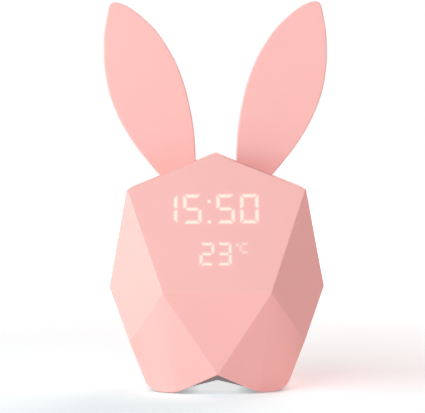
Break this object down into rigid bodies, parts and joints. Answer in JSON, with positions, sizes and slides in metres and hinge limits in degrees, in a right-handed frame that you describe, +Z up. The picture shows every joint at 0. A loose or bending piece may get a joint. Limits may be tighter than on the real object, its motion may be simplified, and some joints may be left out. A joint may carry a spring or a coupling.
{
  "type": "alarm clock",
  "caption": "Faceted rabbit-shaped bedside alarm clock with upright ears, digits lit through its thin front, rear buttons, a slide switch, a loudspeaker and a night light inside.",
  "frame": {"origin": "centre of the footprint, on the surface the clock stands on", "axes": "+X to the right seen from the front, +Y to the back, +Z up along the ears"},
  "size_m": [0.099, 0.082, 0.1713],
  "materials": {
    "pink_abs": "satin",
    "grey_abs": "satin",
    "foot_rubber": "matte",
    "screw_steel": "satin",
    "socket_steel": "satin",
    "white_plastic": "matte",
    "diffuser_plastic": "matte",
    "led_plastic": "gloss",
    "board_laminate": "satin",
    "white_laminate": "satin",
    "chip_plastic": "matte",
    "dark_plastic": "satin",
    "speaker_steel": "satin",
    "sensor_brass": "satin",
    "cell_sleeve": "gloss",
    "ribbon_film": "satin",
    "lead_vinyl": "satin"
  },
  "bodies": {
    "case": {"front_shell": "pink_abs", "rear_shell": "pink_abs", "base_cover": "grey_abs", "rubber_feet": "foot_rubber", "shell_screws": "screw_steel", "base_screws": "screw_steel", "ear_left": "pink_abs", "ear_right": "pink_abs", "display_film": "diffuser_plastic", "display_mask": "white_plastic", "display_board": "board_laminate", "digit_leds": "led_plastic", "display_driver": "chip_plastic", "display_screws": "screw_steel", "control_board": "board_laminate", "processor": "chip_plastic", "lead_sockets": "white_plastic", "ribbon_sockets": "white_plastic", "control_screws": "screw_steel", "usb_socket": "socket_steel", "switch_bodies": "dark_plastic", "power_switch": "socket_steel", "temperature_sensor": "dark_plastic", "tap_sensor": "sensor_brass", "speaker": "speaker_steel", "speaker_cone": "dark_plastic", "battery": "cell_sleeve", "battery_cradle": "white_plastic", "battery_strap": "dark_plastic", "cradle_screws": "screw_steel", "night_light_board": "white_laminate", "night_light_leds": "led_plastic", "night_light_dome": "diffuser_plastic", "night_light_screws": "screw_steel", "ribbon_cable": "ribbon_film", "battery_lead": "lead_vinyl", "speaker_lead": "lead_vinyl", "light_lead": "lead_vinyl"},
    "mode_key": {"button_mode": "pink_abs", "plunger_mode": "white_plastic"},
    "up_key": {"button_up": "pink_abs", "plunger_up": "white_plastic"},
    "down_key": {"button_down": "pink_abs", "plunger_down": "white_plastic"},
    "power_knob": {"power_slider": "dark_plastic"}
  },
  "joints": [
    {"name": "mode_press", "type": "slide", "parent": "case", "child": "mode_key", "axis": [0, -0.9208, -0.39], "range_m": [0, 0.0008], "stiffness_N_per_m": 900, "springref_m": -0.0008},
    {"name": "up_press", "type": "slide", "parent": "case", "child": "up_key", "axis": [0, -0.9208, -0.39], "range_m": [0, 0.0008], "stiffness_N_per_m": 900, "springref_m": -0.0008},
    {"name": "down_press", "type": "slide", "parent": "case", "child": "down_key", "axis": [0, -0.9208, -0.39], "range_m": [0, 0.0008], "stiffness_N_per_m": 900, "springref_m": -0.0008},
    {"name": "power_slide", "type": "slide", "parent": "case", "child": "power_knob", "axis": [-1, 0, 0], "range_m": [0, 0.003]}
  ]
}
